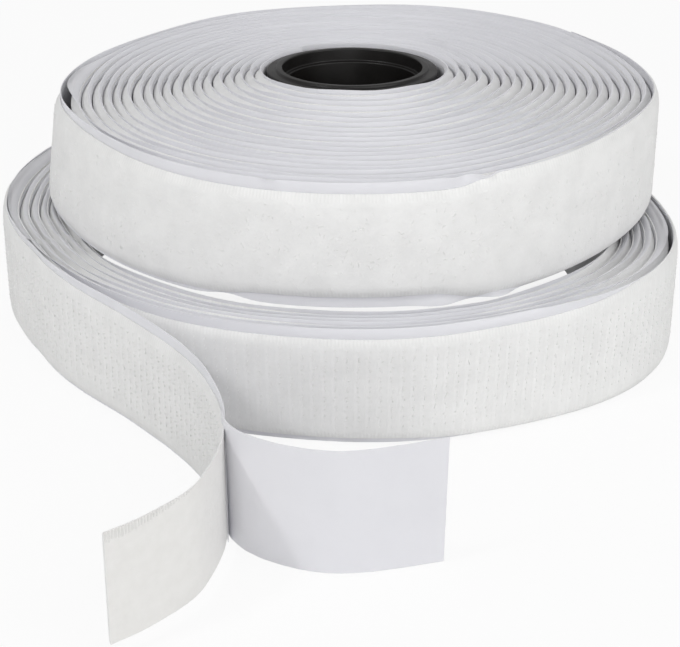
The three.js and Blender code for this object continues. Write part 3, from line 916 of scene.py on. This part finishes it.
def makeHookTape():
    coil, angle, turn, room = hookFaceLine()
    thickness = web["film"] + web["tape"]
    overlap, joined = 60, 8  # points of the coil that the tail's line starts with, and takes over
    face = softLine(np.concatenate([coil[-overlap:], tailFace]), 1.0, 2.5)
    inside = face - rightOf(face) * thickness  # the liner's inner face
    seam = np.argmin(np.hypot(*(face - coil[-1]).T))
    peel = np.argmin(np.hypot(*(face - np.array(peelPlace)).T))
    coilInside = coil - rightOf(coil) * thickness
    coilInside = np.concatenate([coilInside[:-joined], inside[seam - joined:seam + 1]])
    along = []
    for values in (angle, turn, room):
        along.append(np.r_[values[:-joined], np.linspace(values[-joined], values[-1], joined + 1)])
    tail, end = inside[seam:peel + 1], inside[peel:]
    pieces = layHookStretch("Wound", coilInside, coilForm(*along), True)
    pieces.update(layHookStretch("Tail", tail, flatForm(tail, True), True))
    pieces.update(layHookStretch("End", end, flatForm(end, False), False))
    print("hook tape laid")
    return pieces


hookPieces = makeHookTape()

# liner peeled back from the adhesive: foot and top edge in plan
peeledEdges = {
    "foot": [
        (-21.6, -94.8), (-21.0, -96.6), (-20.1, -98.3), (-18.6, -100.7), (-15.8, -103.3), (-12.4, -105.3),
        (-9.1, -106.8), (-5.8, -107.7), (-2.5, -108.0), (2.0, -107.6), (8.0, -106.2), (15.2, -104.1),
    ],
    "top": [
        (-21.5, -97.6), (-20.9, -100.0), (-19.8, -102.1), (-18.2, -103.9), (-15.8, -105.6), (-12.0, -107.7),
        (-7.2, -109.3), (-2.5, -110.0), (2.2, -109.3), (8.0, -107.7), (14.6, -105.4),
    ],
}


def makePeeledLiner():
    share = np.linspace(0, 1, 80)
    edges = []
    for key in ("foot", "top"):
        edge = softLine(peeledEdges[key], 0.6, 1.0)
        edges.append(pointsAt(share, np.linspace(0, 1, len(edge)), edge))
    foot, top = edges
    line = (foot + top) / 2
    tilt = np.sum((top - foot) * rightOf(line), 1) / linerWidth  # how far the top leans, per mm of height
    zero = np.zeros(len(line))
    section = linerSection(len(line), zero, tilt, zero, zero, zero, zero)
    return layStrip("peeledLiner", line, *section, [linerFilm], overWidth(section, zero)), line


hookPieces["peeledLiner"] = makePeeledLiner()

joints = {j["name"]: j for j in frame["joints"]}


def bendAt(jointName, direction, half):  # start and end of a bend, either side of a joint's pin
    pin = np.array(joints[jointName]["pos_m"], float)
    way = np.array((*direction, 0.0))
    way /= np.linalg.norm(way)
    return tuple(pin - way * half * mm), tuple(pin + way * half * mm)


# what each piece stands for, its slot, its width, body or two bodies, and the bend between them
tailBend = bendAt("tail_swing", (0.54, -0.84), 8.0)
endBend = bendAt("tape_end_peel", (0.0, -1.0), 6.0)
linerBend = bendAt("liner_peel", (0.3, -0.95), 4.0)
hookFits = {
    "hookTapeWound": ("hook_tape", "hook_tape", tapeWidth, "hook_roll", None),
    "hookLinerWound": ("hook_liner", "liner", linerWidth, "hook_roll", None),
    "hookTapeTail": ("hook_tail_tape", "hook_tape", tapeWidth, ("hook_roll", "hook_tail"), tailBend),
    "hookLinerTail": ("hook_tail_liner", "liner", linerWidth, ("hook_roll", "hook_tail"), tailBend),
    "hookTapeEnd": ("hook_end_tape", "hook_tape", tapeWidth, ("hook_tail", "hook_end"), endBend),
    "peeledLiner": ("hook_peeled_liner", "liner", linerWidth, ("hook_tail", "peeled_liner"), linerBend),
}
for name, (node, slot, width, body, bend) in hookFits.items():
    piece, line = hookPieces[name]
    if bend is None:
        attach(piece, body)
    else:
        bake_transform(piece)
    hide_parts(node)


# floor and light

stage = {"floorSize": 4.0, "floorDrop": 0.3, "floorGlow": 0.9, "worldLight": 0.47, "aimHeight": 30.0}
# place in mm, size in mm, watts
lamps = {
    "softFront": ((60, -740, 230), 380, 0.8),
    "softRight": ((400, -330, 360), 420, 1.0),
    "keyLeft": ((-330, -260, 440), 70, 0.78),
    "softBack": ((0, 700, 240), 420, 0.6),
}
white = (1, 1, 1, 1)


def seenRays(tree, kinds):  # 1 for rays of these kinds
    path = addNode(tree, "LightPath")
    seen = path.outputs[kinds[0]]
    for kind in kinds[1:]:
        seen = addNode(tree, "Math", {0: seen, 1: path.outputs[kind]}, operation="MAXIMUM").outputs[0]
    return seen


def makeFloor():
    bpy.ops.object.select_all(action="DESELECT")
    bpy.ops.mesh.primitive_plane_add(size=stage["floorSize"], location=(0, 0, -stage["floorDrop"] * mm))
    floor = bpy.context.object
    floor.name = "floor"
    bpy.ops.object.transform_apply(location=True)
    material, tree = newMaterial("whiteStudioPaper")
    paper = addNode(tree, "BsdfPrincipled", {"Base Color": linear("#ededed"), "Roughness": 0.9})
    seen = seenRays(tree, ("Is Camera Ray", "Is Glossy Ray", "Is Transmission Ray"))
    share = addNode(tree, "Math", {0: seen, 1: stage["floorGlow"]}, operation="MULTIPLY")
    glow = addNode(tree, "Emission", {"Color": white, "Strength": 1.0})
    mixed = addNode(tree, "MixShader", {0: share.outputs[0], 1: paper.outputs[0], 2: glow.outputs[0]})
    addNode(tree, "OutputMaterial", {"Surface": mixed.outputs[0]})
    floor.data.materials.append(material)


def makeLight():
    world = bpy.data.worlds.new("studio")
    bpy.context.scene.world = world
    world.use_nodes = True
    tree = world.node_tree
    tree.nodes.clear()
    seen = seenRays(tree, ("Is Camera Ray", "Is Transmission Ray"))
    soft = addNode(tree, "Background", {"Color": white, "Strength": stage["worldLight"]})
    bright = addNode(tree, "Background", {"Color": white, "Strength": 1.0})
    mixed = addNode(tree, "MixShader", {0: seen, 1: soft.outputs[0], 2: bright.outputs[0]})
    addNode(tree, "OutputWorld", {"Surface": mixed.outputs[0]})
    for name, (place, size, watts) in lamps.items():
        lamp = bpy.data.lights.new(name, "AREA")
        lamp.size, lamp.energy = size * mm, watts
        holder = bpy.data.objects.new(name, lamp)
        bpy.context.scene.collection.objects.link(holder)
        holder.location = [p * mm for p in place]
        holder.visible_glossy = name != "softBack"  # only fills, leaves no streak on the core
        aim = np.array((0, 0, stage["aimHeight"])) - np.array(place)
        tilt, heading = math.acos(-aim[2] / np.linalg.norm(aim)), math.atan2(aim[1], aim[0])
        holder.rotation_euler = (tilt, 0, heading - math.pi / 2)


makeFloor()
makeLight()
bpy.context.scene.view_settings.view_transform = "Standard"
print("floor and lamps set")
